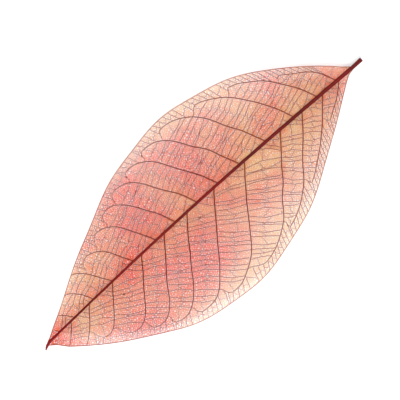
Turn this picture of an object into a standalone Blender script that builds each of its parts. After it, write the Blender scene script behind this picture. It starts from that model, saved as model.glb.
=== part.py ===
"""Skeleton leaf: the dried vein network of one rubber-tree leaflet, lying with its middle flat on a surface.

The leaf is one grown piece, so it is one solid: a midrib with its short stalk and drawn-out tip, the side veins
that leave it on both sides and loop together inside the margin, the rungs between the side veins, and the margin
vein, with open gaps between them all. The network is drawn flat as lines, and Blender's constrained Delaunay tool
turns them into a sheet of cells. An inset in each cell leaves half a strut along every side, and what is inside it
is deleted. The sheet is then curled, and Solidify raises every strut to a ridge, highest along the midrib.

Frame: +Y from stalk to tip, +Z up, origin on the flat underside of the midrib at half the blade's length.
"""

import math
import random

import bmesh
import bpy
from mathutils import Vector
from mathutils.geometry import delaunay_2d_cdt

MM = 0.001  # the network is drawn in millimetres, and the mesh is in metres
LEFT, RIGHT = -1, 1
NAME = "skeleton_leaf"

# Blade outline: how far each side reaches from the straight line between base and tip, and its fullness there
BLADE_LENGTH = 100.0
SIDE_WIDTH = {LEFT: 23.0, RIGHT: 21.8}
BASE_POWER = {LEFT: 1.20, RIGHT: 0.97}
TIP_POWER = {LEFT: 1.08, RIGHT: 1.28}
MARGIN_WAVE = 0.22
MARGIN_WAVES = 31.0
DRIP_TIP_LENGTH = 2.5
DRIP_TIP_HALF_WIDTH = (0.75, 0.45)  # where it begins, and at its end
DRIP_TIP_HOOK = 0.9
STALK_LENGTH = 3.2

# Midrib: its slight bow to the right, and its half width at the stalk and at the tip
MIDRIB_BOW = 1.0
MIDRIB_HALF_WIDTH = (0.95, 0.45)

# Side veins: where each leaves the midrib, as a share of the blade's length
VEIN_STARTS = {
    LEFT: (0.040, 0.090, 0.155, 0.225, 0.340, 0.440, 0.528, 0.603, 0.679, 0.776, 0.852, 0.912),
    RIGHT: (0.045, 0.105, 0.180, 0.270, 0.354, 0.425, 0.494, 0.565, 0.630, 0.705, 0.775, 0.838, 0.900),
}
VEIN_ANGLE = {LEFT: math.radians(49), RIGHT: math.radians(66)}  # to the midrib, where it leaves
VEIN_FORWARD = {LEFT: 1.0, RIGHT: 0.80}  # how far it runs tipwards for each millimetre outwards
NARROW_BLADE = 8.0  # where the blade's half width is less, a side vein runs into the margin, with no loop

# Loops that join the side veins' ends, and the short ties from them to the margin
LOOP_INSET = 1.9  # from the margin
LOOP_JOIN = 4.2  # a loop meets the next vein where that vein has come this near to the margin
LOOP_STEP = 2.0
TIE_LEAN = 0.012  # how far tipwards a tie meets the margin, as a share of the blade's length

# Rungs between neighbouring side veins
RUNG_STEP = 1.7
RUNG_JITTER = 0.25
RUNG_BEND = 0.08  # how far its middle is out of line, at most, as a share of its length
RUNG_SEED = 10
FIRST_RUNG = 2.4  # a rung that would meet the next vein nearer to the midrib than this is left out
MIDRIB_RUNG_SKEW = 3.6  # a side vein that leans further than this under the next one has a rung to the midrib

# Spacing of the points along the veins and the margin
LONGEST_STEP = 3.4
CLOSE_MARKS = 0.8  # rungs that would meet a vein nearer than this to each other meet it at one point
SAME_POINT = 0.01

# Struts, larger than life: half their width, their height beside a gap, and each kind's height at its ridge
STRUT_HALF_WIDTHS = (0.35, 0.32, 0.29)  # the second and third where a cell is too narrow for the one before
GAP_EDGE_HEIGHT = 0.62
MARGIN, MIDRIB, MIDRIB_EDGE, VEIN, LOOP, RUNG = range(6)
RIDGE_HEIGHT = {MARGIN: 0.70, MIDRIB: 2.10, MIDRIB_EDGE: 1.30, VEIN: 1.15, LOOP: 0.90, RUNG: 0.80}
TIP_HEIGHT_SHARE = 0.5  # the midrib's height at the tip, as a share of that at the stalk
SHORTEST_GAP_SIDE = 0.12
SMALLEST_GAP = 0.9  # square millimetres

# Curl: the midrib and four places beside it lie flat, and the margins, the tip and the base lift off the surface
FLAT_ACROSS = (0.10, 0.44)  # share of the half width that lies flat, between those places and at them
REST_AT, REST_STEP = -22.0, 38.0  # where along the leaf they are
FLAT_FROM, FLAT_TO = 0.22, 0.72  # shares of the length
MARGIN_LIFT = {LEFT: 3.0, RIGHT: 2.0}
TIP_LIFT = 4.4
BASE_LIFT = 1.6
RIPPLE = 0.35  # share of the margin's lift
RIPPLE_LENGTH = 34.0

DYED_FIBRE = (0.80, 0.20, 0.13, 1.0)


def hump(u, low_power, high_power):
    """A curve over 0 to 1 that starts and ends at 0 and peaks at 1."""
    if u <= 0.0 or u >= 1.0:
        return 0.0
    peak = low_power / (low_power + high_power)
    return (u / peak) ** low_power * ((1.0 - u) / (1.0 - peak)) ** high_power


def share_between(value, start, end):
    return min(1.0, max(0.0, (value - start) / (end - start)))


def share_of(point):
    """How far along the blade a point lies: 0 at the base and 1 at the tip."""
    return point.y / BLADE_LENGTH + 0.5


def midrib_x(u):
    """The midrib bows to the right in the middle, and its last stretch hooks to the left."""
    bow = MIDRIB_BOW * (math.sin(math.pi * share_between(u, 0.0, 1.0)) - 1.0)
    hook = share_between(u, 1.0 - DRIP_TIP_LENGTH / BLADE_LENGTH, 1.0)
    return bow - DRIP_TIP_HOOK * hook * hook


def midrib_half_width(u):
    root, tip = MIDRIB_HALF_WIDTH
    return root + (tip - root) * share_between(u, 0.0, 1.0)


def half_width(u, side):
    """From the midrib to the margin, in millimetres."""
    wave = MARGIN_WAVE * math.sin(u * MARGIN_WAVES + side) * hump(u, 1.0, 1.0)
    blade = SIDE_WIDTH[side] * hump(u, BASE_POWER[side], TIP_POWER[side]) + wave
    chord_x = midrib_x(0.0)
    drip_share = share_between(u, 1.0 - DRIP_TIP_LENGTH / BLADE_LENGTH, 1.0)
    start, end = DRIP_TIP_HALF_WIDTH
    drip_tip = start + (end - start) * drip_share if drip_share > 0.0 else 0.0
    return max(blade - side * (midrib_x(u) - chord_x), midrib_half_width(u), drip_tip)


def on_midrib(u):
    return Vector((midrib_x(u), (u - 0.5) * BLADE_LENGTH))


def on_margin(u, side, inset=0.0):
    return on_midrib(u) + Vector((side * (half_width(u, side) - inset), 0.0))


def from_margin(point, side):
    u = share_of(point)
    return half_width(u, side) - abs(point.x - midrib_x(u))


def margin_direction(u, side):
    step = 0.01
    return (on_margin(u + step, side) - on_margin(u - step, side)).normalized()


class Curve:
    """A cubic curve that is read by the distance along it, in millimetres."""

    SAMPLES = 60

    def __init__(self, start, start_handle, end_handle, end):
        self.points = []
        for i in range(self.SAMPLES + 1):
            t = i / self.SAMPLES
            s = 1.0 - t
            self.points.append(start * s**3 + start_handle * 3 * s * s * t + end_handle * 3 * s * t * t + end * t**3)
        self.reach = [0.0]
        for a, b in zip(self.points, self.points[1:]):
            self.reach.append(self.reach[-1] + (b - a).length)
        self.length = self.reach[-1]

    def at(self, distance):
        i = 0
        while i < self.SAMPLES - 1 and self.reach[i + 1] < distance:
            i += 1
        share = share_between(distance, self.reach[i], self.reach[i + 1])
        return self.points[i].lerp(self.points[i + 1], share)


class SideVein(Curve):
    """A side vein, which bends tipwards as it nears the margin, and the places where others meet it."""

    def __init__(self, start_share, side):
        self.end_share = self.find_end(start_share, side)
        self.looped = half_width(self.end_share, side) > NARROW_BLADE
        start = on_midrib(start_share)
        end = on_margin(self.end_share, side, LOOP_INSET if self.looped else 0.0)
        reach = (end - start).length
        out = Vector((side * math.sin(VEIN_ANGLE[side]), math.cos(VEIN_ANGLE[side])))
        bend = margin_direction(self.end_share, side) * (0.28 if self.looped else 0.10)
        super().__init__(start, start + out * reach * 0.5, end - bend * reach, end)
        self.root = midrib_half_width(start_share) / math.sin(VEIN_ANGLE[side])
        self.join = self.find_join(side)
        self.marks = {0.0, self.root, self.join, self.length}

    def find_end(self, start_share, side):
        """Where the margin is as far outwards as the vein has run tipwards, found by halving."""
        low, high = start_share, 1.0
        for _ in range(30):
            middle = (low + high) / 2
            if (middle - start_share) * BLADE_LENGTH < VEIN_FORWARD[side] * half_width(middle, side):
                low = middle
            else:
                high = middle
        return low

    def find_join(self, side):
        """How far along the vein it has come as near to the margin as the loops join it."""
        distances = [self.length * i / self.SAMPLES for i in range(self.SAMPLES)]
        return next(d for d in distances if from_margin(self.at(d), side) < LOOP_JOIN)

    def mark(self, distance):
        """The point at a distance, or at a mark that is already close by."""
        nearest = min(self.marks, key=lambda other: abs(other - distance))
        if abs(nearest - distance) > CLOSE_MARKS:
            self.marks.add(distance)
            nearest = distance
        return self.at(nearest)

    def line(self):
        """The points of all marks, with more between those that are far apart."""
        return [self.at(distance) for distance in filled(sorted(self.marks), LONGEST_STEP)]


def filled(stops, longest):
    """The stops, with equal steps put in where two are further apart than the longest step."""
    result = [stops[0]]
    for a, b in zip(stops, stops[1:]):
        count = math.ceil((b - a) / longest)
        result.extend(a + (b - a) * (i + 1) / count for i in range(count))
    return result


class Network:
    """Points and lines of the flat network, each line with its kind."""

    def __init__(self):
        self.points = []
        self.lines = []
        self.kinds = []

    def draw(self, points, kind):
        first = len(self.points)
        self.points.extend(points)
        for i in range(first, len(self.points) - 1):
            self.lines.append((i, i + 1))
            self.kinds.append(kind)


def draw_loops(network, veins, side):
    """The arcs that join the side veins' ends, with ties to the margin. Gives the ties' shares on the margin."""
    ties = set()
    for vein, following in zip(veins, veins[1:]):
        if not vein.looped:
            continue
        start, end = vein.at(vein.length), following.at(following.join)
        along = margin_direction(vein.end_share, side) * (end - start).length
        loop = Curve(start, start + along * 0.5, end - along * 0.3, end)
        arc = [loop.at(distance) for distance in filled([0.0, loop.length], LOOP_STEP)]
        network.draw(arc, LOOP)
        outer_stretch = [vein.mark(distance) for distance in filled([vein.join, vein.length], LONGEST_STEP)]
        for point in outer_stretch[1:] + arc[2:-1:2]:
            tie = share_of(point) + TIE_LEAN
            network.draw([point, on_margin(tie, side)], RUNG)
            ties.add(tie)
    return ties


def draw_rungs(network, veins, side, draw):
    """The rungs from each side vein to the next, square to both, and one from it to the midrib."""
    for near, far in zip(veins, veins[1:]):
        skew = (far.at(0.0) - near.at(0.0)).length * math.cos(VEIN_ANGLE[side])
        if skew > MIDRIB_RUNG_SKEW:
            halfway = near.at(near.root).lerp(far.at(far.root), 0.5)
            network.draw([near.mark(near.root + 0.5 * skew), halfway], RUNG)
        reach = near.length - 0.6 * RUNG_STEP
        count = max(1, round(reach / RUNG_STEP))
        for i in range(count):
            place = (i + 0.8 + RUNG_JITTER * draw.uniform(-1, 1)) * reach / count
            landing = place - skew * (1.0 - math.exp(-place / skew))
            bend = draw.uniform(-RUNG_BEND, RUNG_BEND)
            if FIRST_RUNG < landing < far.join - CLOSE_MARKS and place < near.length - CLOSE_MARKS:
                start, end = near.mark(place), far.mark(landing)
                middle = start.lerp(end, 0.5) + (end - start).orthogonal() * bend
                network.draw([start, middle, end], RUNG)


def draw_side(network, side, draw):
    """One side of the blade. Gives the points of its margin and of its edge of the midrib."""
    veins = [SideVein(share, side) for share in VEIN_STARTS[side]]
    ties = draw_loops(network, veins, side)
    draw_rungs(network, veins, side, draw)
    for vein in veins:
        network.draw(vein.line(), VEIN)
    ends = {vein.end_share for vein in veins if not vein.looped}
    drip_start = 1.0 - DRIP_TIP_LENGTH / BLADE_LENGTH
    shares = filled(sorted({0.0, drip_start, 1.0} | ties | ends), LONGEST_STEP / BLADE_LENGTH)
    margin = [on_margin(share, side) for share in shares]
    edge = [on_margin(0.0, side)] + [vein.at(vein.root) for vein in veins] + [on_margin(drip_start, side)]
    return margin, edge


def draw_network():
    network = Network()
    draw = random.Random(RUNG_SEED)
    margins = {}
    for side in (LEFT, RIGHT):
        margins[side], midrib_edge = draw_side(network, side, draw)
        network.draw(midrib_edge, MIDRIB_EDGE)
    foot = on_midrib(0.0) - Vector((0.0, STALK_LENGTH))
    root = Vector((midrib_half_width(0.0), 0.0))
    outline = [foot - root, foot, foot + root] + margins[RIGHT] + [on_midrib(1.0)] + margins[LEFT][::-1]
    network.draw(outline + outline[:1], MARGIN)
    stops = sorted({0.0, 1.0 - DRIP_TIP_LENGTH / BLADE_LENGTH, 1.0} | set(VEIN_STARTS[LEFT] + VEIN_STARTS[RIGHT]))
    network.draw([foot] + [on_midrib(u) for u in stops], MIDRIB)
    return network


def ridge_height(kinds, u):
    """The height of the ridge at a point where lines of these kinds meet."""
    height = max(RIDGE_HEIGHT[kind] for kind in kinds)
    if height > RIDGE_HEIGHT[VEIN]:
        height *= 1.0 + (TIP_HEIGHT_SHARE - 1.0) * share_between(u, 0.0, 1.0)
    return max(height, GAP_EDGE_HEIGHT)


def sheet_of_cells(network):
    """The flat sheet, one face for each cell, with every point's height in the first vertex group."""
    drawn_cells = 3
    points, edges, cells, _, sources, _ = delaunay_2d_cdt(network.points, network.lines, [], drawn_cells, SAME_POINT)
    kinds = [set() for _ in points]
    for edge, lines in zip(edges, sources):
        for i in edge:
            kinds[i].update(network.kinds[line] for line in lines)
    sheet = bmesh.new()
    heights = sheet.verts.layers.deform.verify()
    for point, met in zip(points, kinds):
        vert = sheet.verts.new((point.x, point.y, 0.0))
        vert[heights][0] = ridge_height(met, share_of(point)) / RIDGE_HEIGHT[MIDRIB]
    verts = list(sheet.verts)
    for cell in cells:
        sheet.faces.new([verts[i] for i in cell])
    bmesh.ops.recalc_face_normals(sheet, faces=sheet.faces)
    return sheet, heights


def is_midrib(face):
    middle = face.calc_center_median()
    u = share_of(middle)
    return u < 0.0 or abs(middle.x - midrib_x(u)) < midrib_half_width(u)


def room_for_gap(face, width):
    """Whether the face, drawn in by the width on all sides, keeps each of its sides and enough area."""
    drawn_in = []
    for loop in face.loops:
        here = loop.vert.co
        before = face.normal.cross(here - loop.link_loop_prev.vert.co).normalized()
        after = face.normal.cross(loop.link_loop_next.vert.co - here).normalized()
        drawn_in.append(here + (before + after) * width / (1.0 + before.dot(after)))
    area = 0.0
    for loop, start, end in zip(face.loops, drawn_in, drawn_in[1:] + drawn_in[:1]):
        side = loop.link_loop_next.vert.co - loop.vert.co
        if (end - start).dot(side.normalized()) < SHORTEST_GAP_SIDE:
            return False
        area += start.cross(end).z / 2
    return abs(area) > SMALLEST_GAP


def open_gaps(sheet, heights):
    """Insets every cell that has room for it, and deletes what is inside the inset."""
    for face in list(sheet.faces):
        widths = [width for width in STRUT_HALF_WIDTHS if room_for_gap(face, width)]
        if is_midrib(face) or not widths:
            continue
        bmesh.ops.inset_individual(sheet, faces=[face], thickness=widths[0], use_even_offset=True)
        for vert in face.verts:
            vert[heights][0] = GAP_EDGE_HEIGHT / RIDGE_HEIGHT[MIDRIB]
        bmesh.ops.delete(sheet, geom=[face], context="FACES_ONLY")


def flat_share(y):
    """The share of the half width that lies flat."""
    between, at_rest = FLAT_ACROSS
    wave = 0.5 + 0.5 * math.cos(2.0 * math.pi * (y - REST_AT) / REST_STEP)
    return between + (at_rest - between) * wave * wave


def lift(point):
    """How far the curled leaf's underside is above the surface, in millimetres."""
    u = share_of(point)
    side = LEFT if point.x < midrib_x(u) else RIGHT
    across = share_between(abs(point.x - midrib_x(u)) / half_width(u, side), flat_share(point.y), 1.0)
    ripple = 1.0 + RIPPLE * math.sin(2.0 * math.pi * point.y / RIPPLE_LENGTH + side)
    margin = MARGIN_LIFT[side] * across**2 * ripple * half_width(u, side) / SIDE_WIDTH[side]
    tip = TIP_LIFT * share_between(u, FLAT_TO, 1.0) ** 2
    base = BASE_LIFT * share_between(u, FLAT_FROM, 0.0) ** 2
    return margin + tip + base


def fibre_material():
    material = bpy.data.materials.new("dyed_leaf_fibre")
    material.use_nodes = True
    shader = material.node_tree.nodes["Principled BSDF"]
    shader.inputs["Base Color"].default_value = DYED_FIBRE
    shader.inputs["Roughness"].default_value = 0.7
    shader.inputs["Metallic"].default_value = 0.0
    return material


def make_leaf(collection):
    sheet, heights = sheet_of_cells(draw_network())
    open_gaps(sheet, heights)
    bmesh.ops.triangulate(sheet, faces=sheet.faces)
    for vert in sheet.verts:
        vert.co.z = lift(vert.co)
    bmesh.ops.scale(sheet, vec=(MM, MM, MM), verts=sheet.verts)
    mesh = bpy.data.meshes.new(NAME)
    sheet.to_mesh(mesh)
    sheet.free()
    mesh.materials.append(fibre_material())
    leaf = bpy.data.objects.new(NAME, mesh)
    collection.objects.link(leaf)
    group = leaf.vertex_groups.new(name="height")
    solid = leaf.modifiers.new("struts", "SOLIDIFY")
    solid.thickness = RIDGE_HEIGHT[MIDRIB] * MM
    solid.offset = 1.0
    solid.vertex_group = group.name
    return leaf


def main():
    for old in list(bpy.data.objects):
        bpy.data.objects.remove(old, do_unlink=True)
    collection = bpy.data.collections.new(NAME)
    bpy.context.scene.collection.children.link(collection)
    make_leaf(collection)


main()
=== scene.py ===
"""Looks of the skeleton leaf, dyed coral red and lying on a white floor.

The net, the rungs, the side veins, the margins and the midrib follow the outline, the curl and the vein
places of the solid, but are as thin as in a real leaf.
"""

import math
import random

import bmesh
import bpy
from mathutils import Matrix, Vector, noise
from mathutils.geometry import delaunay_2d_cdt


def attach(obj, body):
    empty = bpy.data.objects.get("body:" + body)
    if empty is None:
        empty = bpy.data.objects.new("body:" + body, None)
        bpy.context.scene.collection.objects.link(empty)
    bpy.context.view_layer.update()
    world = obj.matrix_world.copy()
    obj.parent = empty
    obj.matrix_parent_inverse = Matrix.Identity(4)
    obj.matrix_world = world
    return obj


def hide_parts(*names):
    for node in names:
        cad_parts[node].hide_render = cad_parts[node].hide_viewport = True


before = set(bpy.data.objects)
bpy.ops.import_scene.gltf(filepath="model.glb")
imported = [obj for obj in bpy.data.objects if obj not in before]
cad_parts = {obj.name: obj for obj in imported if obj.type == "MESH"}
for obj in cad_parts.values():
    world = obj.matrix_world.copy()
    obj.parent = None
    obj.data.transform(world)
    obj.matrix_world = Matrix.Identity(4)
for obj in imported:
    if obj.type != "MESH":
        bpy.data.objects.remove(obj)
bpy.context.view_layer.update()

MM = 0.001  # the leaf is drawn in millimetres, and its meshes are in metres
LEFT, RIGHT = -1, 1
SIDE_NAME = {LEFT: "left", RIGHT: "right"}

# Outline of the blade, the same as the solid's
BLADE_LENGTH = 100.0
SIDE_WIDTH = {LEFT: 23.0, RIGHT: 21.8}
BASE_POWER = {LEFT: 1.20, RIGHT: 0.97}
TIP_POWER = {LEFT: 1.08, RIGHT: 1.28}
MARGIN_WAVE = 0.22
MARGIN_WAVES = 31.0
DRIP_TIP_LENGTH = 2.5
DRIP_TIP_HOOK = 0.9
LEAST_WIDTH = 1.05  # half the blade's width is at least this share of the midrib's radius
TIP_WIDTH = 0.5  # and this share of it at the end of the tip
TIP_NARROWING = 1.4
NET_END = 0.985  # the share of the length where the net ends and the tip is all midrib
MARGIN_END = 0.990  # where the margins run into it
STALK_LENGTH = 3.2

# Midrib
MIDRIB_BOW = 1.0  # to the right
MIDRIB_RADIUS = (0.48, 0.23)  # at the base and at the tip
MIDRIB_TAPER = 0.8
MIDRIB_EDGE = 0.5  # about where the blade begins beside it
MIDRIB_FLATNESS = 0.95
MIDRIB_SIDES = 14
MIDRIB_STEP = 0.006  # as a share of the blade's length
STALK_SWELLING = 0.16
STALK_SWELLING_FROM = 0.02
POINT_SWELLING = 0.65  # the dark point is thicker than the midrib before it
POINT_SWELLING_FROM, POINT_SWELLING_TO = 0.945, 0.980
POINT_END = 0.30  # the share of the radius that is left at the very end
POINT_BLUNTNESS = 0.5
GRAIN_DEPTH, GRAIN_ACROSS, GRAIN_ALONG = 0.05, 5.0, 0.25
KNOT_DEPTH, KNOT_DENSITY = 0.04, 0.6
CUT_RIM = 0.10
PITH_RIM, PITH_DEPTH = 0.06, 0.10

# Side veins: where each leaves the midrib, as a share of the blade's length
VEIN_STARTS = {
    LEFT: (0.040, 0.090, 0.155, 0.225, 0.340, 0.440, 0.528, 0.603, 0.679, 0.776, 0.852, 0.912, 0.953),
    RIGHT: (0.045, 0.105, 0.180, 0.270, 0.354, 0.425, 0.494, 0.565, 0.630, 0.705, 0.775, 0.838, 0.900, 0.948),
}
VEIN_ANGLE = {LEFT: math.radians(49), RIGHT: math.radians(66)}
VEIN_FORWARD = {LEFT: 1.0, RIGHT: 0.80}  # how far tipwards a side vein runs, for its way outwards
VEIN_HANDLE = 0.5  # how much of its way a side vein keeps to its angle
HALVINGS = 30  # to find where a side vein ends
NARROW_BLADE = 8.0  # where the half width is less, a side vein runs into the margin
LOOPED_BEND = 0.28  # how much of a side vein with a loop bends along the margin
MARGIN_BEND = 0.10  # and of one that runs into the margin
VEIN_SWAY = 0.45  # how far a side vein strays from a smooth curve
SWAY_LENGTH = 6.5
SWAY_RISE = 6.0  # how soon it begins to stray from its ends
SECOND_SWAY = Vector((0.0, 0.0, 9.0))

# Loops between the side veins' ends, and ties from them to the margin
LOOP_INSET = 1.9  # from the margin to where a side vein goes over into its loop
LOOP_JOIN = 4.2  # from the margin to where the loop meets the next side vein
LOOP_HANDLES = (0.5, 0.3)  # how much of its way a loop keeps its direction, at its start and its end
TIE_LEAN = 0.012  # how much further tipwards a tie meets the margin, as a share of the length
TIE_STEP = 1.7

# Rungs between the side veins, at their real spacing
RUNG_STEP = 1.40
SHORT_VEIN, LONG_VEIN = 5.0, 20.0
SHORT_VEIN_STEP = 0.72  # how much closer the rungs are on a short vein
RUNG_JITTER = 0.20  # of a step
RUNG_BEND = 0.09
RUNGS_FROM, RUNGS_TO = 0.8, 0.6  # steps to the first rung from a vein's start, and from the last to its end
FIRST_RUNG = 1.5  # a rung that would meet the next vein nearer to the midrib than this runs to the midrib
LAST_ON_MIDRIB = 0.92  # such a rung's furthest place between two side veins
CLOSE_MARKS = 0.5  # two rungs that would meet a vein closer together than this meet it in one point
LONGEST_STEP = 2.0  # between two points of a drawn line
SAME_POINT = 0.01
NET_SEED = 5  # for all that is left to chance

# Kinds of line, from the coarsest to the finest. Each later split of a cell is one kind finer
MARGIN, EDGE, VEIN, LOOP, RUNG, FIRST_SPLIT = range(6)

# The fine net: cells are halved until they are this small
AREOLE_AREA = 0.254  # square millimetres
AREOLE_SPREAD = 1.35
CLOSE_NET = 0.75  # how much smaller they are beside the midrib
CLOSE_NET_REACH = 9.0
AXIS_SWAY = 0.3  # how far a new thread leans by chance, in radians
CORNER_CLEARANCE = 0.25  # the least share of a cell's side between its corner and a new thread

# Widths of the net's threads
POINT_THREAD = 0.280  # the finest threads at the very point, where they are widest
POINT_FROM, POINT_TO = 40.5, 46.5
MIDRIB_THREAD = 0.195  # beside the midrib
AREOLE_THREAD = 0.179  # between the midrib and the open net
OPEN_THREAD = 0.144  # in the open net along the margins
OPEN_NET_FROM, OPEN_NET_TO = 12.0, 18.0
OPEN_NET_LEAN = 0.2  # how much further in the open net reaches towards the base
RUNG_THREAD = 0.175
RUNG_SHARE = {RUNG: 1.0, FIRST_SPLIT: 0.85}
RUNG_RAISE = 0.3  # how far a rung stands above the finest threads, as a share of its width
THREAD_LIFT = 0.07  # from the blade's underside to the middle of its threads

# Radii of the round veins where they begin and end
VEIN_RADIUS = (0.17, 0.10)
SHORT_VEIN_WIDTH = 0.75  # how much thinner a short vein begins
LOOP_RADIUS = (0.09, 0.075)
MARGIN_RADIUS = 0.10
MARGIN_INSET = 0.5  # of that radius
VEIN_FLATNESS = 0.85
VEIN_SIDES, MARGIN_SIDES = 8, 6
VEIN_STEP = 1.0
MARGIN_STEP = 0.01  # as a share of the blade's length

# Curl, the same as the solid's, and a slight pucker of the dried net
FLAT_ACROSS = (0.10, 0.44)  # the flat share of the half width, between the resting places and at them
REST_AT, REST_STEP = -22.0, 38.0  # one resting place, and from each to the next
FLAT_FROM, FLAT_TO = 0.22, 0.72
MARGIN_LIFT = {LEFT: 3.0, RIGHT: 2.0}
TIP_LIFT = 4.4
BASE_LIFT = 1.6
RIPPLE = 0.35
RIPPLE_LENGTH = 34.0
PUCKER = 0.30
PUCKER_SIZE = 5.0
PUCKER_REACH = 4.0

# The blade joins the midrib at about half its height, and stands a little higher on both sides of it
BLADE_JOIN = 0.75  # of the midrib's radius
BLADE_RISE = 0.35
BLADE_RISE_FROM, BLADE_RISE_TO = 0.3, 3.0

# Specks of leaf tissue left in the net: place in millimetres, and size
SPECKS = (
    (-4.6, 27.6, 0.55), (-12.5, 8.0, 0.35), (7.2, 30.5, 0.30), (9.8, -8.4, 0.38), (-6.1, -24.0, 0.32),
    (-15.4, -14.2, 0.40), (3.4, 12.7, 0.28), (14.1, 10.6, 0.34), (-9.3, 19.6, 0.26), (5.6, -30.3, 0.30),
)
SPECK_LIFT = 0.15
SPECK_LENGTH, SPECK_WIDTH = 0.5, 0.3  # half of each, as a share of the size
SPECK_THICKNESS = 0.12
LUMP_DEPTH, LUMP_DENSITY = 0.45, 1.7

# Colours of the fibres, undyed and dyed, as they are named on a screen
NET_COLOURS = ((255, 216, 142), (255, 98, 8))
RUNG_COLOURS = ((194, 104, 54), (156, 24, 8))
VEIN_COLOURS = ((146, 80, 50), (132, 36, 20))
MARGIN_COLOURS = ((226, 190, 162), (206, 108, 84))
MIDRIB_COLOURS = ((78, 8, 12), (158, 16, 14))
PITH_COLOURS = ((226, 170, 140), (200, 110, 90))
TISSUE_COLOURS = ((110, 60, 50), (82, 34, 32))
BLACK = (0.0, 0.0, 0.0, 1.0)

# Dried fibre
DYE = 0.36  # the dye everywhere, before it is washed to and fro
FIBRE_DENSITY, FIBRE_STRETCH = 9000.0, 0.08
FIBRE_SHADE = 0.22
FIBRE_ROUGHNESS = (0.55, 0.75)
FIBRE_SHINE = 0.2
FIBRE_HEIGHT = 0.00005

# Floor, light and view
FLOOR_WHITE = (0.93, 0.93, 0.93, 1.0)
FLOOR_ROUGHNESS = 0.9
FLOOR_SHINE = 0.1
FLOOR_SIZE = 4.0
SKY_WHITE = (1.0, 1.0, 1.0, 1.0)
SKY_STRENGTH = 0.96
LIGHT_PLACE = (-0.25, 0.35, 0.75)
LIGHT_SIZE = 0.5
LIGHT_POWER = 5.8
LENS = 90.0
WIDTH_OF_VIEW = 0.0975
VIEW_CENTRE = -0.0015
VIEW_TURN = math.radians(-132.2)


# The leaf's outline and curl


def hump(u, low_power, high_power):
    """A curve over 0 to 1 that starts and ends at 0 and peaks at 1."""
    if u <= 0.0 or u >= 1.0:
        return 0.0
    peak = low_power / (low_power + high_power)
    return (u / peak) ** low_power * ((1.0 - u) / (1.0 - peak)) ** high_power


def share_between(value, start, end):
    return min(1.0, max(0.0, (value - start) / (end - start)))


def share_of(point):
    """How far along the blade a point lies: 0 at the base and 1 at the tip."""
    return point.y / BLADE_LENGTH + 0.5


def midrib_x(u):
    bow = MIDRIB_BOW * (math.sin(math.pi * share_between(u, 0.0, 1.0)) - 1.0)
    hook = share_between(u, 1.0 - DRIP_TIP_LENGTH / BLADE_LENGTH, 1.0)
    return bow - DRIP_TIP_HOOK * hook * hook


def midrib_radius(u):
    root, tip = MIDRIB_RADIUS
    return root + (tip - root) * share_between(u, 0.0, 1.0) ** MIDRIB_TAPER


def half_width(u, side):
    """From the midrib to the margin, in millimetres."""
    wave = MARGIN_WAVE * math.sin(u * MARGIN_WAVES + side) * hump(u, 1.0, 1.0)
    blade = SIDE_WIDTH[side] * hump(u, BASE_POWER[side], TIP_POWER[side]) + wave
    width = max(blade - side * (midrib_x(u) - midrib_x(0.0)), LEAST_WIDTH * midrib_radius(u))
    narrowing = share_between(u, 1.0 - 2.0 * DRIP_TIP_LENGTH / BLADE_LENGTH, 1.0) ** TIP_NARROWING
    return width + (TIP_WIDTH * midrib_radius(u) - width) * narrowing


def on_midrib(u):
    return Vector((midrib_x(u), (u - 0.5) * BLADE_LENGTH))


def on_margin(u, side, inset=0.0):
    return on_midrib(u) + Vector((side * (half_width(u, side) - inset), 0.0))


def from_margin(point, side):
    u = share_of(point)
    return half_width(u, side) - abs(point.x - midrib_x(u))


def from_midrib(point):
    return abs(point.x - midrib_x(share_of(point)))


def beside_midrib(point):
    """How near a point is to the midrib: 1 at its edge and 0 where the close net ends."""
    return share_between(from_midrib(point), CLOSE_NET_REACH, MIDRIB_EDGE)


def thread_width(point):
    """How wide the finest threads are: widest at the tip's point and least along the margins."""
    outwards = from_midrib(point) - OPEN_NET_LEAN * point.y
    closed = share_between(outwards, OPEN_NET_TO, OPEN_NET_FROM)
    width = OPEN_THREAD + (AREOLE_THREAD - OPEN_THREAD) * closed
    width += (MIDRIB_THREAD - width) * beside_midrib(point)
    return width + (POINT_THREAD - width) * share_between(point.y, POINT_FROM, POINT_TO)


def margin_direction(u, side):
    step = 0.01
    return (on_margin(u + step, side) - on_margin(u - step, side)).normalized()


def flat_share(y):
    """The share of the half width that lies flat."""
    between, at_rest = FLAT_ACROSS
    wave = 0.5 + 0.5 * math.cos(2.0 * math.pi * (y - REST_AT) / REST_STEP)
    return between + (at_rest - between) * wave * wave


def curl_at(point):
    """How far the curled leaf's underside is above the floor, in millimetres."""
    u = share_of(point)
    side = LEFT if point.x < midrib_x(u) else RIGHT
    across = share_between(from_midrib(point) / half_width(u, side), flat_share(point.y), 1.0)
    ripple = 1.0 + RIPPLE * math.sin(2.0 * math.pi * point.y / RIPPLE_LENGTH + side)
    margin = MARGIN_LIFT[side] * across**2 * ripple * half_width(u, side) / SIDE_WIDTH[side]
    tip = TIP_LIFT * share_between(u, FLAT_TO, 1.0) ** 2
    base = BASE_LIFT * share_between(u, FLAT_FROM, 0.0) ** 2
    return margin + tip + base


def blade_at(point):
    """How far the underside of the puckered blade is above the floor, beside the midrib."""
    out = from_midrib(point)
    swell = 0.5 + 0.5 * noise.noise(Vector((point.x, point.y, 0.0)) / PUCKER_SIZE)
    pucker = PUCKER * swell * share_between(out, MIDRIB_EDGE, PUCKER_REACH)
    join = BLADE_JOIN * midrib_radius(share_of(point))
    rise = join + BLADE_RISE * share_between(out, BLADE_RISE_FROM, BLADE_RISE_TO)
    return curl_at(point) + pucker + rise


# Lines of the veins


def filled(stops, longest):
    """The stops, with equal steps put in where two are further apart than the longest step."""
    result = [stops[0]]
    for a, b in zip(stops, stops[1:]):
        count = math.ceil((b - a) / longest)
        result.extend(a + (b - a) * (i + 1) / count for i in range(count))
    return result


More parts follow.
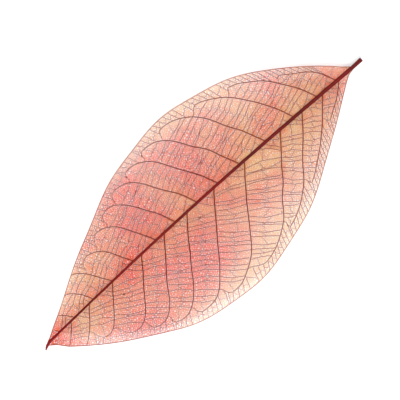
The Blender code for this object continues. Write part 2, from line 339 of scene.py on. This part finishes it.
def sway_at(point):
    """How far a vein is moved sideways, as no vein of a grown leaf runs quite smoothly."""
    place = point.to_3d() / SWAY_LENGTH
    return VEIN_SWAY * Vector((noise.noise(place), noise.noise(place + SECOND_SWAY)))


def find_end(start_share, side):
    """Where the margin is as far outwards as a side vein has run tipwards, found by halving."""
    low, high = start_share, 1.0
    for _ in range(HALVINGS):
        middle = (low + high) / 2
        if (middle - start_share) * BLADE_LENGTH < VEIN_FORWARD[side] * half_width(middle, side):
            low = middle
        else:
            high = middle
    return low


class VeinCurve:
    """A cubic curve that is read by the distance along it, in millimetres."""

    SAMPLES = 60

    def __init__(self, start, start_handle, end_handle, end):
        self.points = []
        for i in range(self.SAMPLES + 1):
            t = i / self.SAMPLES
            s = 1.0 - t
            point = start * s**3 + start_handle * 3 * s * s * t + end_handle * 3 * s * t * t + end * t**3
            self.points.append(point + sway_at(point) * min(1.0, SWAY_RISE * s * t))
        self.reach = [0.0]
        for a, b in zip(self.points, self.points[1:]):
            self.reach.append(self.reach[-1] + (b - a).length)
        self.length = self.reach[-1]

    def at(self, distance):
        """The point at a distance from the start."""
        i = 0
        while i < self.SAMPLES - 1 and self.reach[i + 1] < distance:
            i += 1
        share = share_between(distance, self.reach[i], self.reach[i + 1])
        return self.points[i].lerp(self.points[i + 1], share)


class SideVein(VeinCurve):
    """A side vein, which bends tipwards as it nears the margin, and the places where others meet it."""

    def __init__(self, start_share, side):
        self.start_share = start_share
        self.end_share = find_end(start_share, side)
        self.looped = half_width(self.end_share, side) > NARROW_BLADE
        start = on_midrib(start_share)
        end = on_margin(self.end_share, side, LOOP_INSET if self.looped else 0.0)
        reach = (end - start).length
        out = Vector((side * math.sin(VEIN_ANGLE[side]), math.cos(VEIN_ANGLE[side])))
        bend = margin_direction(self.end_share, side) * (LOOPED_BEND if self.looped else MARGIN_BEND)
        super().__init__(start, start + out * reach * VEIN_HANDLE, end - bend * reach, end)
        self.root = midrib_radius(start_share) / math.sin(VEIN_ANGLE[side])
        self.join = self.find_join(side)
        self.marks = {0.0, self.root, self.join, self.length}

    def find_join(self, side):
        """How far along the vein it has come as near to the margin as the loops join it."""
        distances = [self.length * i / self.SAMPLES for i in range(self.SAMPLES)]
        return next(d for d in distances if from_margin(self.at(d), side) < LOOP_JOIN)

    def for_length(self, shortest):
        """A share that grows to 1 with the vein's length."""
        return shortest + (1.0 - shortest) * share_between(self.length, SHORT_VEIN, LONG_VEIN)

    def mark(self, distance):
        """The point at a distance, or at a mark that is already close by."""
        nearest = min(self.marks, key=lambda other: abs(other - distance))
        if abs(nearest - distance) > CLOSE_MARKS:
            self.marks.add(distance)
            nearest = distance
        return self.at(nearest)

    def line(self):
        """The points of all marks from the midrib's edge outwards."""
        return [self.at(distance) for distance in filled(sorted(self.marks - {0.0}), LONGEST_STEP)]


def on_midrib_edge(near, far, share):
    """A point of the midrib's edge between two side veins."""
    return near.at(near.root).lerp(far.at(far.root), min(share, LAST_ON_MIDRIB))


class Blade:
    """One side of the leaf as flat lines, each with its kind."""

    def __init__(self, side, chance):
        self.side = side
        self.points = []
        self.lines = []
        self.kinds = []
        self.loops = []
        self.ties = set()
        self.veins = [SideVein(share, side) for share in VEIN_STARTS[side]]
        self.edge = [on_margin(0.0, side), *(vein.at(vein.root) for vein in self.veins)]
        self.draw_loops()
        self.draw_rungs(chance)
        for vein in self.veins:
            self.draw(vein.line(), VEIN)
        self.draw_outline()

    def draw(self, points, kind):
        """Adds one line through some points."""
        first = len(self.points)
        self.points.extend(points)
        for i in range(first, len(self.points) - 1):
            self.lines.append((i, i + 1))
            self.kinds.append(kind)

    def draw_loops(self):
        """The arcs that join the side veins' ends, with ties from them to the margin."""
        out, back = LOOP_HANDLES
        for vein, following in zip(self.veins, self.veins[1:]):
            if not vein.looped:
                continue
            start, end = vein.at(vein.length), following.at(following.join)
            along = margin_direction(vein.end_share, self.side) * (end - start).length
            loop = VeinCurve(start, start + along * out, end - along * back, end)
            self.loops.append(loop)
            arc = [loop.at(distance) for distance in filled([0.0, loop.length], TIE_STEP)]
            self.draw(arc, LOOP)
            stretch = [vein.mark(distance) for distance in filled([vein.join, vein.length], TIE_STEP)]
            for point in stretch[1:] + arc[1:-1]:
                tie = share_of(point) + TIE_LEAN
                self.draw([point, on_margin(tie, self.side)], RUNG)
                self.ties.add(tie)

    def draw_rungs(self, chance):
        """The rungs from each side vein to the next, square to both. The first ones run to the midrib."""
        for near, far in zip(self.veins, self.veins[1:]):
            skew = (far.at(0.0) - near.at(0.0)).length * math.cos(VEIN_ANGLE[self.side])
            last = (far.join if near.looped else far.length) - CLOSE_MARKS
            step = RUNG_STEP * near.for_length(SHORT_VEIN_STEP)
            reach = near.length - RUNGS_TO * step
            count = max(1, round(reach / step))
            for i in range(count):
                place = (i + RUNGS_FROM + RUNG_JITTER * chance.uniform(-1, 1)) * reach / count
                landing = place - skew * (1.0 - math.exp(-place / skew))
                bend = chance.uniform(-RUNG_BEND, RUNG_BEND)
                if landing < FIRST_RUNG and place > near.root + 2.0 * CLOSE_MARKS:
                    self.edge.append(on_midrib_edge(near, far, place / (skew + FIRST_RUNG)))
                    self.draw_rung(near.mark(place), self.edge[-1], bend)
                elif FIRST_RUNG < landing < last and place < near.length - CLOSE_MARKS:
                    self.draw_rung(near.mark(place), far.mark(landing), bend)

    def draw_rung(self, start, end, bend):
        middle = start.lerp(end, 0.5) + (end - start).orthogonal() * bend
        self.draw([start, middle, end], RUNG)

    def draw_outline(self):
        """The margin, and the midrib's edge with all that meets it."""
        ends = {vein.end_share for vein in self.veins if not vein.looped}
        shares = filled(sorted({0.0, NET_END} | self.ties | ends), LONGEST_STEP / BLADE_LENGTH)
        self.draw([on_margin(share, self.side) for share in shares], MARGIN)
        for share in filled([self.veins[-1].start_share, NET_END], LONGEST_STEP / BLADE_LENGTH)[1:]:
            self.edge.append(on_midrib(share) + Vector((self.side * midrib_radius(share), 0.0)))
        self.edge.sort(key=lambda point: point.y)
        self.draw([*self.edge, on_margin(NET_END, self.side)], EDGE)


# Fine net


def sheet_of_cells(blade):
    """The flat sheet, one face for each drawn cell, with each edge's kind in a layer."""
    drawn_cells = 3
    found = delaunay_2d_cdt(blade.points, blade.lines, [], drawn_cells, SAME_POINT)
    points, edges, cells, _, sources, _ = found
    sheet = bmesh.new()
    ranks = sheet.edges.layers.int.new("rank")
    verts = [sheet.verts.new((point.x, point.y, 0.0)) for point in points]
    for cell in cells:
        sheet.faces.new([verts[i] for i in cell])
    for ends, lines in zip(edges, sources):
        edge = sheet.edges.get([verts[i] for i in ends])
        if edge and lines:
            edge[ranks] = min(blade.kinds[line] for line in lines)
    bmesh.ops.recalc_face_normals(sheet, faces=sheet.faces)
    return sheet, ranks


def long_axis(face, chance):
    """The middle of a cell, and roughly the direction in which it is longest."""
    centre = face.calc_center_median_weighted()
    xx = xy = yy = 0.0
    for edge in face.edges:
        middle = (edge.verts[0].co + edge.verts[1].co) / 2 - centre
        length = edge.calc_length()
        xx += middle.x * middle.x * length
        xy += middle.x * middle.y * length
        yy += middle.y * middle.y * length
    angle = 0.5 * math.atan2(2 * xy, xx - yy) + chance.uniform(-AXIS_SWAY, AXIS_SWAY)
    return centre, Vector((math.cos(angle), math.sin(angle), 0.0))


def crossings(face, centre, axis):
    """The nearest side of a cell on either hand of its middle, met by a line square to its axis."""
    across = Vector((-axis.y, axis.x, 0.0))
    found = []
    for loop in face.loops:
        a, b = loop.vert.co - centre, loop.link_loop_next.vert.co - centre
        before, after = a.dot(axis), b.dot(axis)
        if (before < 0.0) != (after < 0.0):
            share = before / (before - after)
            place = a.lerp(b, share).dot(across)
            clear_share = min(1.0 - CORNER_CLEARANCE, max(CORNER_CLEARANCE, share))
            found.append((place, loop.edge, loop.vert, clear_share))
    below = [crossing for crossing in found if crossing[0] < 0.0]
    above = [crossing for crossing in found if crossing[0] >= 0.0]
    if not below or not above:
        return []
    return [max(below, key=lambda crossing: crossing[0]), min(above, key=lambda crossing: crossing[0])]


def halve(face, ranks, rank, chance):
    """Draws a thread across a cell. Gives the new cell, or None where there is no room for a thread."""
    corners = []
    for _, edge, corner, share in crossings(face, *long_axis(face, chance)):
        old_rank = edge[ranks]
        new_edge, vert = bmesh.utils.edge_split(edge, corner, share)
        new_edge[ranks] = old_rank
        corners.append(vert)
    if len(corners) < 2:
        return None
    other, loop = bmesh.utils.face_split(face, *corners)
    if other:
        loop.edge[ranks] = rank
    return other


def split_into_areoles(sheet, ranks, chance):
    waiting = [(face, FIRST_SPLIT) for face in sheet.faces]
    while waiting:
        face, rank = waiting.pop()
        nearness = beside_midrib(face.calc_center_median())
        smallest = AREOLE_AREA * (1.0 + (CLOSE_NET - 1.0) * nearness)
        if face.calc_area() < smallest * chance.uniform(1.0, AREOLE_SPREAD):
            continue
        other = halve(face, ranks, rank, chance)
        if other:
            waiting += [(face, rank + 1), (other, rank + 1)]


def round_off(sheet, ranks, rank, times):
    """Draws the corners between the finer threads together, and leaves the coarser threads where they are."""
    free = [vert for vert in sheet.verts if all(edge[ranks] >= rank for edge in vert.link_edges)]
    for _ in range(times):
        bmesh.ops.smooth_vert(sheet, verts=free, factor=0.5, use_axis_x=True, use_axis_y=True)


def finished(bm, name, material):
    """Makes a piece of a mesh that is drawn in millimetres."""
    bmesh.ops.scale(bm, vec=(MM, MM, MM), verts=bm.verts)
    for face in bm.faces:
        face.smooth = True
    mesh = bpy.data.meshes.new(name)
    bm.to_mesh(mesh)
    bm.free()
    mesh.materials.append(material)
    piece = bpy.data.objects.new(name, mesh)
    bpy.context.scene.collection.objects.link(piece)
    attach(piece, "root")
    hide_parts("skeleton_leaf")
    return piece


def as_threads(piece, widest):
    """Turns every edge of a piece into a thread. Its points' weights are shares of the widest thread."""
    group = piece.vertex_groups.new(name="thread")
    threads = piece.modifiers.new("threads", "WIREFRAME")
    threads.vertex_group = group.name
    threads.thickness = widest * MM
    threads.use_even_offset = False
    threads.use_boundary = True


def make_net(blade, chance, net_material, rung_material):
    """The finest threads of one side, and over them the rungs and the first threads between rungs."""
    name = SIDE_NAME[blade.side]
    sheet, ranks = sheet_of_cells(blade)
    split_into_areoles(sheet, ranks, chance)
    round_off(sheet, ranks, FIRST_SPLIT, times=2)
    round_off(sheet, ranks, RUNG, times=1)
    coarse = sheet.copy()
    weights = sheet.verts.layers.deform.verify()
    for vert in sheet.verts:
        vert[weights][0] = thread_width(vert.co) / POINT_THREAD
        vert.co.z = blade_at(vert.co) + THREAD_LIFT
    as_threads(finished(sheet, "net_" + name, net_material), POINT_THREAD)

    ranks = coarse.edges.layers.int["rank"]
    fine = [edge for edge in coarse.edges if edge[ranks] > FIRST_SPLIT and not edge.is_boundary]
    bmesh.ops.dissolve_edges(coarse, edges=fine, use_verts=False, use_face_split=False)
    weights = coarse.verts.layers.deform.verify()
    for vert in coarse.verts:
        rank = min((edge[ranks] for edge in vert.link_edges), default=FIRST_SPLIT)
        share = RUNG_SHARE[max(rank, RUNG)]
        vert[weights][0] = share
        vert.co.z = blade_at(vert.co) + THREAD_LIFT + RUNG_RAISE * share * RUNG_THREAD
    as_threads(finished(coarse, "rungs_" + name, rung_material), RUNG_THREAD)


# Round veins


def section_at(path, i, radius, flatness):
    """A vein's cross-section at a point of its path, with Z along the vein and Y up."""
    ahead = (path[min(i + 1, len(path) - 1)] - path[max(i - 1, 0)]).normalized()
    sideways = ahead.cross(Vector((0.0, 0.0, 1.0))).normalized()
    turn = Matrix((sideways, sideways.cross(ahead), ahead)).transposed().to_4x4()
    return Matrix.Translation(path[i]) @ turn @ Matrix.Diagonal((radius, radius * flatness, 1.0, 1.0))


def add_vein(bm, path, radii, sides=VEIN_SIDES, flatness=VEIN_FLATNESS):
    """One round vein: a ring that is extruded from point to point, and closed at both ends."""
    section = section_at(path, 0, radii[0], flatness)
    made = bmesh.ops.create_circle(bm, cap_ends=True, segments=sides, radius=1.0, matrix=section)
    ring = list(dict.fromkeys(edge for vert in made["verts"] for edge in vert.link_edges))
    for i in range(1, len(path)):
        pulled = bmesh.ops.extrude_edge_only(bm, edges=ring)["geom"]
        verts = [item for item in pulled if isinstance(item, bmesh.types.BMVert)]
        edges = [item for item in pulled if isinstance(item, bmesh.types.BMEdge)]
        ring = [edge for edge in edges if all(vert in verts for vert in edge.verts)]
        next_section = section_at(path, i, radii[i], flatness)
        bmesh.ops.transform(bm, matrix=next_section @ section.inverted(), verts=verts)
        section = next_section
    bmesh.ops.edgeloop_fill(bm, edges=ring)


def tidy_faces(bm):
    """Sorts the faces by their points, as extruding leaves them in any order, and turns them outwards."""
    bm.verts.index_update()
    in_order = sorted(bm.faces, key=lambda face: sorted(vert.index for vert in face.verts))
    for i, face in enumerate(in_order):
        face.index = i
    bm.faces.sort()
    bmesh.ops.recalc_face_normals(bm, faces=bm.faces)


def laid(points, radii, underside=blade_at, flatness=VEIN_FLATNESS):
    """Points of a vein's middle, with its underside on the leaf's underside."""
    return [Vector((p.x, p.y, underside(p) + radius * flatness)) for p, radius in zip(points, radii)]


def taper(count, start, end):
    return [start + (end - start) * i / (count - 1) for i in range(count)]


def make_side_veins(blade, material):
    bm = bmesh.new()
    root, tip = VEIN_RADIUS
    widths = [(vein, root * vein.for_length(SHORT_VEIN_WIDTH), tip) for vein in blade.veins]
    widths += [(loop, *LOOP_RADIUS) for loop in blade.loops]
    for curve, start, end in widths:
        points = [curve.at(distance) for distance in filled([0.0, curve.length], VEIN_STEP)]
        radii = taper(len(points), start, end)
        add_vein(bm, laid(points, radii), radii)
    tidy_faces(bm)
    finished(bm, "side_veins_" + SIDE_NAME[blade.side], material)


def make_margins(material):
    bm = bmesh.new()
    shares = filled([0.0, NET_END, MARGIN_END], MARGIN_STEP)
    radii = [MARGIN_RADIUS] * len(shares)
    for side in (LEFT, RIGHT):
        points = [on_margin(share, side, MARGIN_INSET * MARGIN_RADIUS) for share in shares]
        add_vein(bm, laid(points, radii), radii, MARGIN_SIDES)
    tidy_faces(bm)
    finished(bm, "margins", material)


def make_midrib(material, pith):
    """The midrib from the stalk's cut end, a little swollen, to the thicker, hooked and pointed tip."""
    bm = bmesh.new()
    cut_end = -STALK_LENGTH / BLADE_LENGTH
    shares = filled([cut_end, 1.0], MIDRIB_STEP)
    radii = []
    for u in shares:
        swelling = STALK_SWELLING * share_between(u, STALK_SWELLING_FROM, cut_end)
        swelling += POINT_SWELLING * share_between(u, POINT_SWELLING_FROM, POINT_SWELLING_TO)
        pointed = POINT_END + (1.0 - POINT_END) * share_between(u, 1.0, NET_END) ** POINT_BLUNTNESS
        radii.append(midrib_radius(u) * (1.0 + swelling) * pointed)
    path = laid([on_midrib(u) for u in shares], radii, curl_at, MIDRIB_FLATNESS)
    add_vein(bm, path, radii, MIDRIB_SIDES, MIDRIB_FLATNESS)
    tidy_faces(bm)
    for vert in bm.verts:
        x, y, z = vert.co
        grain = noise.noise(Vector((x * GRAIN_ACROSS, y * GRAIN_ALONG, z * GRAIN_ACROSS)))
        knots = noise.noise(vert.co * KNOT_DENSITY)
        vert.co += vert.normal * (GRAIN_DEPTH * grain + KNOT_DEPTH * knots)
        vert.co.z = max(vert.co.z, 0.0)
    cut = min(bm.faces, key=lambda face: face.calc_center_median().y)
    bmesh.ops.inset_individual(bm, faces=[cut], thickness=CUT_RIM, depth=0.0)
    bmesh.ops.inset_individual(bm, faces=[cut], thickness=PITH_RIM, depth=-PITH_DEPTH)
    cut.material_index = 1
    midrib = finished(bm, "midrib", material)
    midrib.data.materials.append(pith)


def make_specks(material, chance):
    """Flat crumbs of leaf tissue that were left in the net."""
    bm = bmesh.new()
    for x, y, size in SPECKS:
        place = Vector((x, y, blade_at(Vector((x, y))) + SPECK_LIFT))
        turn = Matrix.Rotation(chance.uniform(0.0, math.pi), 4, "Z")
        shape = Matrix.Diagonal((SPECK_LENGTH * size, SPECK_WIDTH * size, SPECK_THICKNESS, 1.0))
        made = bmesh.ops.create_icosphere(bm, subdivisions=2, radius=1.0)
        for vert in made["verts"]:
            vert.co *= 1.0 + LUMP_DEPTH * noise.noise(vert.co * LUMP_DENSITY + place)
        bmesh.ops.transform(bm, matrix=Matrix.Translation(place) @ turn @ shape, verts=made["verts"])
    finished(bm, "tissue_specks", material)


# Materials


def from_srgb(red, green, blue):
    """A colour as it is named on a screen, 0 to 255, as the linear colour that a shader takes."""
    channels = []
    for value in (red, green, blue):
        share = value / 255.0
        channels.append(share / 12.92 if share <= 0.04045 else ((share + 0.055) / 1.055) ** 2.4)
    return (*channels, 1.0)


def add_node(tree, kind, name, **settings):
    node = tree.nodes.new(kind)
    node.name = node.label = name
    for key, value in settings.items():
        setattr(node, key, value)
    return node


def new_group(name, inputs, outputs):
    """A shader node group, with its inputs given as (name, kind, default) and its outputs as (name, kind)."""
    group = bpy.data.node_groups.new(name, "ShaderNodeTree")
    for label, kind, default in inputs:
        socket = group.interface.new_socket(label, in_out="INPUT", socket_type=kind)
        socket.default_value = default
    for label, kind in outputs:
        group.interface.new_socket(label, in_out="OUTPUT", socket_type=kind)
    return group, add_node(group, "NodeGroupInput", "inputs"), add_node(group, "NodeGroupOutput", "outputs")


def feed(tree, socket, value):
    """Sets a socket's value, or links the socket to where its value comes from."""
    if isinstance(value, (float, tuple)):
        socket.default_value = value
    else:
        tree.links.new(value, socket)


def ranged(tree, source, name, low, high, to_low=0.0, to_high=1.0):
    """A value that goes smoothly from one end to the other as the source crosses a range."""
    node = add_node(tree, "ShaderNodeMapRange", name, interpolation_type="SMOOTHSTEP")
    tree.links.new(source, node.inputs["Value"])
    node.inputs["From Min"].default_value = low
    node.inputs["From Max"].default_value = high
    node.inputs["To Min"].default_value = to_low
    node.inputs["To Max"].default_value = to_high
    return node.outputs["Result"]


def calculated(tree, operation, name, *values):
    node = add_node(tree, "ShaderNodeMath", name, operation=operation)
    for socket, value in zip(node.inputs, values):
        feed(tree, socket, value)
    return node.outputs["Value"]


def blended(tree, name, share, first, second, blend_type="MIX"):
    node = add_node(tree, "ShaderNodeMix", name, data_type="RGBA", blend_type=blend_type)
    first_colour, second_colour, mixed_colour = node.inputs[6], node.inputs[7], node.outputs[2]
    feed(tree, node.inputs["Factor"], share)
    feed(tree, first_colour, first)
    feed(tree, second_colour, second)
    return mixed_colour


def cloud(tree, vector, name, density, detail=3.0):
    node = add_node(tree, "ShaderNodeTexNoise", name)
    feed(tree, node.inputs["Vector"], vector)
    feed(tree, node.inputs["Scale"], density)
    feed(tree, node.inputs["Detail"], detail)
    return node.outputs["Fac"]


def dye_wash_group():
    """How the dye has taken: most in the tip half and at the point, in patches, and least along the margins.

    Places are in metres along and across the leaf, from the middle of its length.
    """
    undyed, dyed = (from_srgb(*colour) for colour in NET_COLOURS)
    inputs = [
        ("Undyed", "NodeSocketColor", undyed),
        ("Dyed", "NodeSocketColor", dyed),
        ("Amount", "NodeSocketFloat", 1.0),
    ]
    tree, given, result = new_group("dye_wash", inputs, [("Colour", "NodeSocketColor")])
    place = add_node(tree, "ShaderNodeTexCoord", "place on the leaf").outputs["Object"]
    parts = add_node(tree, "ShaderNodeSeparateXYZ", "along and across")
    tree.links.new(place, parts.inputs[0])
    along = parts.outputs["Y"]
    across = calculated(tree, "ABSOLUTE", "distance from the midrib", parts.outputs["X"])
    right = ranged(tree, parts.outputs["X"], "right of the midrib", 0.0, 0.006)
    tip_quarter = ranged(tree, along, "tip quarter", 0.010, 0.034)
    right_tip = calculated(tree, "MULTIPLY", "right side of the tip", right, tip_quarter)
    outwards = calculated(tree, "MULTIPLY_ADD", "outwards and basewards", along, -0.1, across)
    outer = ranged(tree, outwards, "outer margin", 0.014, 0.021, 1.0, 0.15)
    patches = cloud(tree, place, "patchy dye", 75.0)
    mottle = cloud(tree, place, "mottled dye", 420.0, 2.0)
    washes = (
        ("more tipwards", ranged(tree, along, "towards the tip", -0.030, 0.014), 0.56),
        ("more basewards", ranged(tree, along, "towards the base", -0.004, -0.030), 0.20),
        ("less before the tip", ranged(tree, along, "before the tip", 0.027, 0.040), -0.48),
        ("less on the right of the tip", right_tip, -0.30),
        ("more at the point", ranged(tree, along, "drawn-out tip", 0.0385, 0.0475), 1.00),
        ("less beside the midrib", ranged(tree, across, "beside the midrib", 0.009, 0.001), -0.18),
        ("more or less in patches", ranged(tree, patches, "patches", 0.35, 0.65, -1.0), 0.26),
        ("more or less in specks", ranged(tree, mottle, "mottling", 0.30, 0.70, -1.0), 0.14),
    )
    total = DYE
    for name, mask, share in washes:
        total = calculated(tree, "MULTIPLY_ADD", name, mask, share, total)
    total = calculated(tree, "MULTIPLY", "paler margin", total, outer)
    total = calculated(tree, "MULTIPLY", "amount of dye", total, given.outputs["Amount"])
    total.node.use_clamp = True
    colour = blended(tree, "dyed fibre", total, given.outputs["Undyed"], given.outputs["Dyed"])
    tree.links.new(colour, result.inputs["Colour"])
    return tree


def fibre_grain_group():
    """Fine fibres along the leaf, as a height and as a mask."""
    inputs = [("Fibres", "NodeSocketFloat", FIBRE_DENSITY), ("Stretch", "NodeSocketFloat", FIBRE_STRETCH)]
    outputs = [("Height", "NodeSocketFloat"), ("Mask", "NodeSocketFloat")]
    tree, given, result = new_group("fibre_grain", inputs, outputs)
    place = add_node(tree, "ShaderNodeTexCoord", "place on the leaf").outputs["Object"]
    shape = add_node(tree, "ShaderNodeCombineXYZ", "stretched along the leaf")
    shape.inputs["X"].default_value = 1.0
    shape.inputs["Z"].default_value = 1.0
    tree.links.new(given.outputs["Stretch"], shape.inputs["Y"])
    stretched = add_node(tree, "ShaderNodeVectorMath", "stretch", operation="MULTIPLY")
    tree.links.new(place, stretched.inputs[0])
    tree.links.new(shape.outputs["Vector"], stretched.inputs[1])
    fibres = cloud(tree, stretched.outputs["Vector"], "fibres", given.outputs["Fibres"], 2.0)
    tree.links.new(fibres, result.inputs["Height"])
    tree.links.new(ranged(tree, fibres, "fibre mask", 0.38, 0.62), result.inputs["Mask"])
    return tree


def placed_group(tree, group, **values):
    node = add_node(tree, "ShaderNodeGroup", group.name, node_tree=group)
    for key, value in values.items():
        node.inputs[key].default_value = value
    return node


def fibre_material(name, groups, colours, glow=0.0, amount=1.0, bump=0.25):
    """Dyed plant fibre. With a glow, it lets that share of the light through."""
    undyed, dyed = (from_srgb(*colour) for colour in colours)
    material = bpy.data.materials.new(name)
    material.use_nodes = True
    tree = material.node_tree
    shader = tree.nodes["Principled BSDF"]
    dye = placed_group(tree, groups["dye_wash"], Undyed=undyed, Dyed=dyed, Amount=amount)
    grain = placed_group(tree, groups["fibre_grain"])
    shade = calculated(tree, "MULTIPLY", "fibre shade", grain.outputs["Mask"], FIBRE_SHADE)
    colour = blended(tree, "shade of the fibres", shade, dye.outputs["Colour"], BLACK, "MULTIPLY")
    tree.links.new(colour, shader.inputs["Base Color"])
    rough = ranged(tree, grain.outputs["Height"], "fibre sheen", 0.3, 0.7, *FIBRE_ROUGHNESS)
    tree.links.new(rough, shader.inputs["Roughness"])
    raised = add_node(tree, "ShaderNodeBump", "raised fibres")
    raised.inputs["Strength"].default_value = bump
    raised.inputs["Distance"].default_value = FIBRE_HEIGHT
    tree.links.new(grain.outputs["Height"], raised.inputs["Height"])
    tree.links.new(raised.outputs["Normal"], shader.inputs["Normal"])
    shader.inputs["Metallic"].default_value = 0.0
    shader.inputs["Specular IOR Level"].default_value = FIBRE_SHINE
    if glow:
        through = add_node(tree, "ShaderNodeBsdfTranslucent", "light through the fibre")
        tree.links.new(colour, through.inputs["Color"])
        both = add_node(tree, "ShaderNodeMixShader", "surface and light through it")
        both.inputs["Fac"].default_value = glow
        tree.links.new(shader.outputs["BSDF"], both.inputs[1])
        tree.links.new(through.outputs["BSDF"], both.inputs[2])
        tree.links.new(both.outputs["Shader"], tree.nodes["Material Output"].inputs["Surface"])
    return material


def floor_material():
    material = bpy.data.materials.new("white_floor")
    material.use_nodes = True
    shader = material.node_tree.nodes["Principled BSDF"]
    shader.inputs["Base Color"].default_value = FLOOR_WHITE
    shader.inputs["Roughness"].default_value = FLOOR_ROUGHNESS
    shader.inputs["Specular IOR Level"].default_value = FLOOR_SHINE
    return material


# Stage


def make_floor():
    bm = bmesh.new()
    bmesh.ops.create_grid(bm, x_segments=1, y_segments=1, size=FLOOR_SIZE)
    mesh = bpy.data.meshes.new("floor")
    bm.to_mesh(mesh)
    bm.free()
    mesh.materials.append(floor_material())
    floor = bpy.data.objects.new("floor", mesh)
    bpy.context.scene.collection.objects.link(floor)


def make_light():
    """An even white surrounding, and one soft light from the side of the tip."""
    world = bpy.data.worlds.new("studio")
    world.use_nodes = True
    background = world.node_tree.nodes["Background"]
    background.inputs["Color"].default_value = SKY_WHITE
    background.inputs["Strength"].default_value = SKY_STRENGTH
    bpy.context.scene.world = world
    bpy.context.scene.view_settings.view_transform = "Standard"

    light = bpy.data.lights.new("key", "AREA")
    light.shape = "DISK"
    light.size = LIGHT_SIZE
    light.energy = LIGHT_POWER
    lamp = bpy.data.objects.new("key", light)
    lamp.location = LIGHT_PLACE
    lamp.rotation_mode = "QUATERNION"
    lamp.rotation_quaternion = (-Vector(LIGHT_PLACE)).to_track_quat("-Z", "Y")
    bpy.context.scene.collection.objects.link(lamp)


def make_camera():
    """Straight above, turned so that the tip points to the lower left."""
    camera_data = bpy.data.cameras.new("camera")
    camera_data.lens = LENS
    camera_data.clip_start = 0.01
    camera = bpy.data.objects.new("camera", camera_data)
    distance = WIDTH_OF_VIEW * camera_data.lens / camera_data.sensor_width
    camera.location = (0.0, VIEW_CENTRE, distance)
    camera.rotation_euler = (0.0, 0.0, VIEW_TURN)
    bpy.context.scene.collection.objects.link(camera)
    bpy.context.scene.camera = camera


def make_leaf():
    groups = {"dye_wash": dye_wash_group(), "fibre_grain": fibre_grain_group()}
    net = fibre_material("net_fibre", groups, NET_COLOURS, glow=0.5)
    rung = fibre_material("rung_fibre", groups, RUNG_COLOURS, glow=0.35)
    vein = fibre_material("side_vein_fibre", groups, VEIN_COLOURS)
    margin = fibre_material("margin_fibre", groups, MARGIN_COLOURS, glow=0.3)
    rib = fibre_material("midrib_fibre", groups, MIDRIB_COLOURS, amount=0.4, bump=0.6)
    pith = fibre_material("cut_pith", groups, PITH_COLOURS)
    tissue = fibre_material("left_tissue", groups, TISSUE_COLOURS)
    chance = random.Random(NET_SEED)
    for side in (LEFT, RIGHT):
        blade = Blade(side, chance)
        make_net(blade, chance, net, rung)
        make_side_veins(blade, vein)
    make_margins(margin)
    make_midrib(rib, pith)
    make_specks(tissue, chance)


make_leaf()
make_floor()
make_light()
make_camera()
